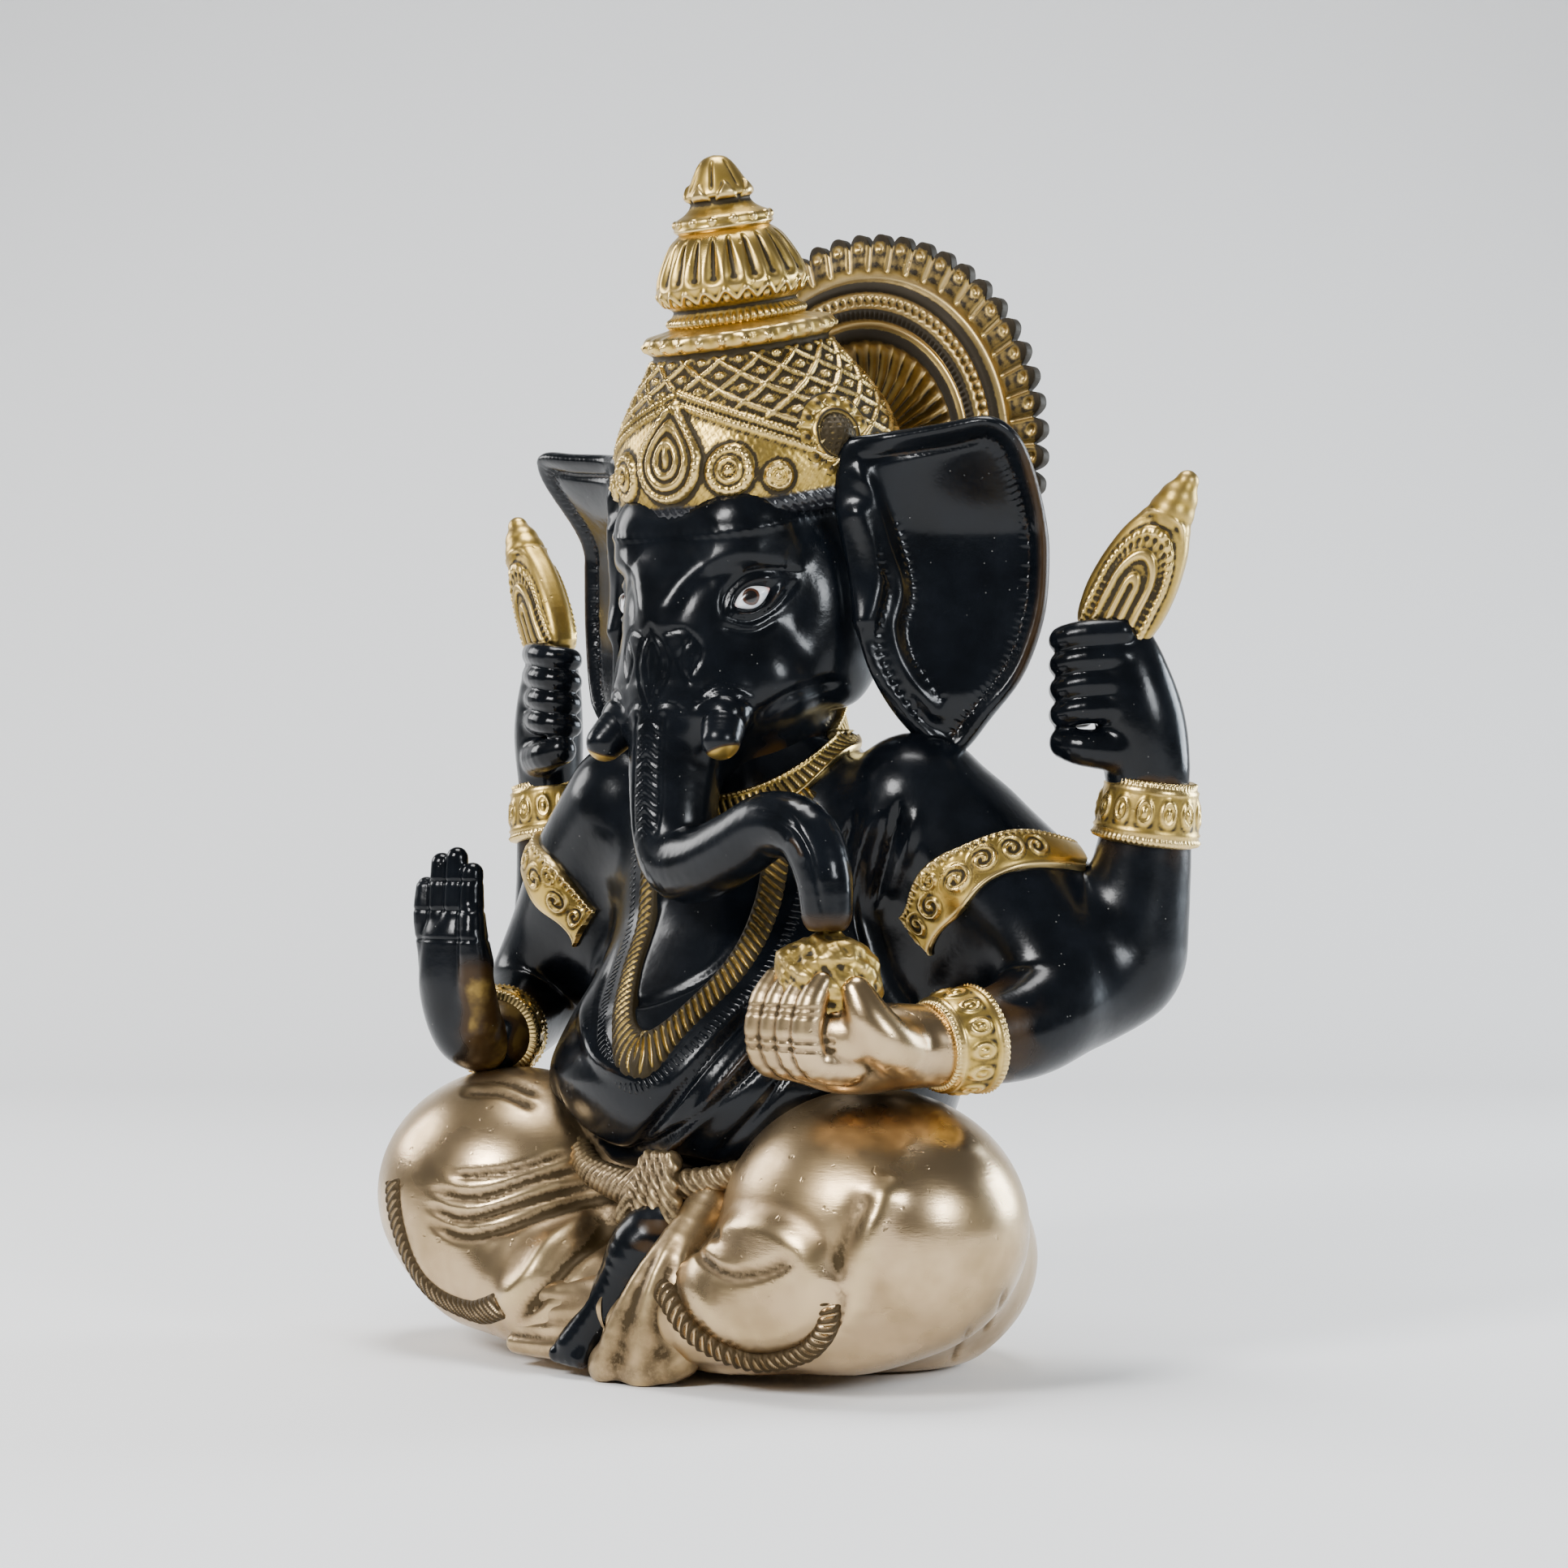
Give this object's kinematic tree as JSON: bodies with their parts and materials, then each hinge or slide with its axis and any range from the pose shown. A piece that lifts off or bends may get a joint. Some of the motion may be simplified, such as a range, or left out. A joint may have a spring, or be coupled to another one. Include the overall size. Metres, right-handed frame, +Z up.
{
  "type": "hindu deity statue",
  "caption": "Seated four-armed elephant-headed brass figurine, black lacquered body, polished brass legs, gilt crown, jewellery and wheel halo",
  "frame": {"origin": "centre of the footprint, on the surface the figurine sits on", "axes": "+Z up, the figure faces -Y, its own left hand side is +X"},
  "size_m": [0.1832, 0.0929, 0.2442],
  "materials": {
    "polished_brass": "satin polished, rosy gold",
    "black_lacquer": "gloss black paint over brass, worn brown at the edges",
    "gilt_brass": "bright yellow brass with dark patina in the recesses",
    "antique_brass": "darkened brass, rubbed bright on the high spots",
    "eye_enamel": "gloss white enamel with a painted pupil"
  },
  "bodies": {
    "root": {"base_plate": "antique_brass", "lower_body": "polished_brass", "left_hem": "polished_brass", "right_hem": "polished_brass", "front_drape": "polished_brass", "waist_tie": "polished_brass", "right_foot": "black_lacquer", "left_toes": "polished_brass", "torso": "black_lacquer", "sash": "black_lacquer", "necklace": "gilt_brass", "collar": "gilt_brass", "head": "black_lacquer", "trunk": "black_lacquer", "left_tusk": "black_lacquer", "right_tusk": "black_lacquer", "left_eye": "eye_enamel", "right_eye": "eye_enamel", "left_ear": "black_lacquer", "right_ear": "black_lacquer", "crown_dome": "gilt_brass", "crown_bulb": "gilt_brass", "crown_finial": "gilt_brass", "left_rosette": "gilt_brass", "right_rosette": "gilt_brass", "halo_wheel": "antique_brass", "halo_stem": "antique_brass", "left_front_arm": "black_lacquer", "right_front_arm": "black_lacquer", "left_rear_arm": "black_lacquer", "right_rear_arm": "black_lacquer", "left_front_hand": "polished_brass", "right_front_hand": "black_lacquer", "left_rear_hand": "black_lacquer", "right_rear_hand": "black_lacquer", "left_emblem": "gilt_brass", "right_emblem": "gilt_brass", "sweet": "gilt_brass", "left_front_cuff": "gilt_brass", "right_front_cuff": "gilt_brass", "left_rear_cuff": "gilt_brass", "right_rear_cuff": "gilt_brass", "left_armlet": "gilt_brass", "right_armlet": "gilt_brass"}
  },
  "joints": []
}
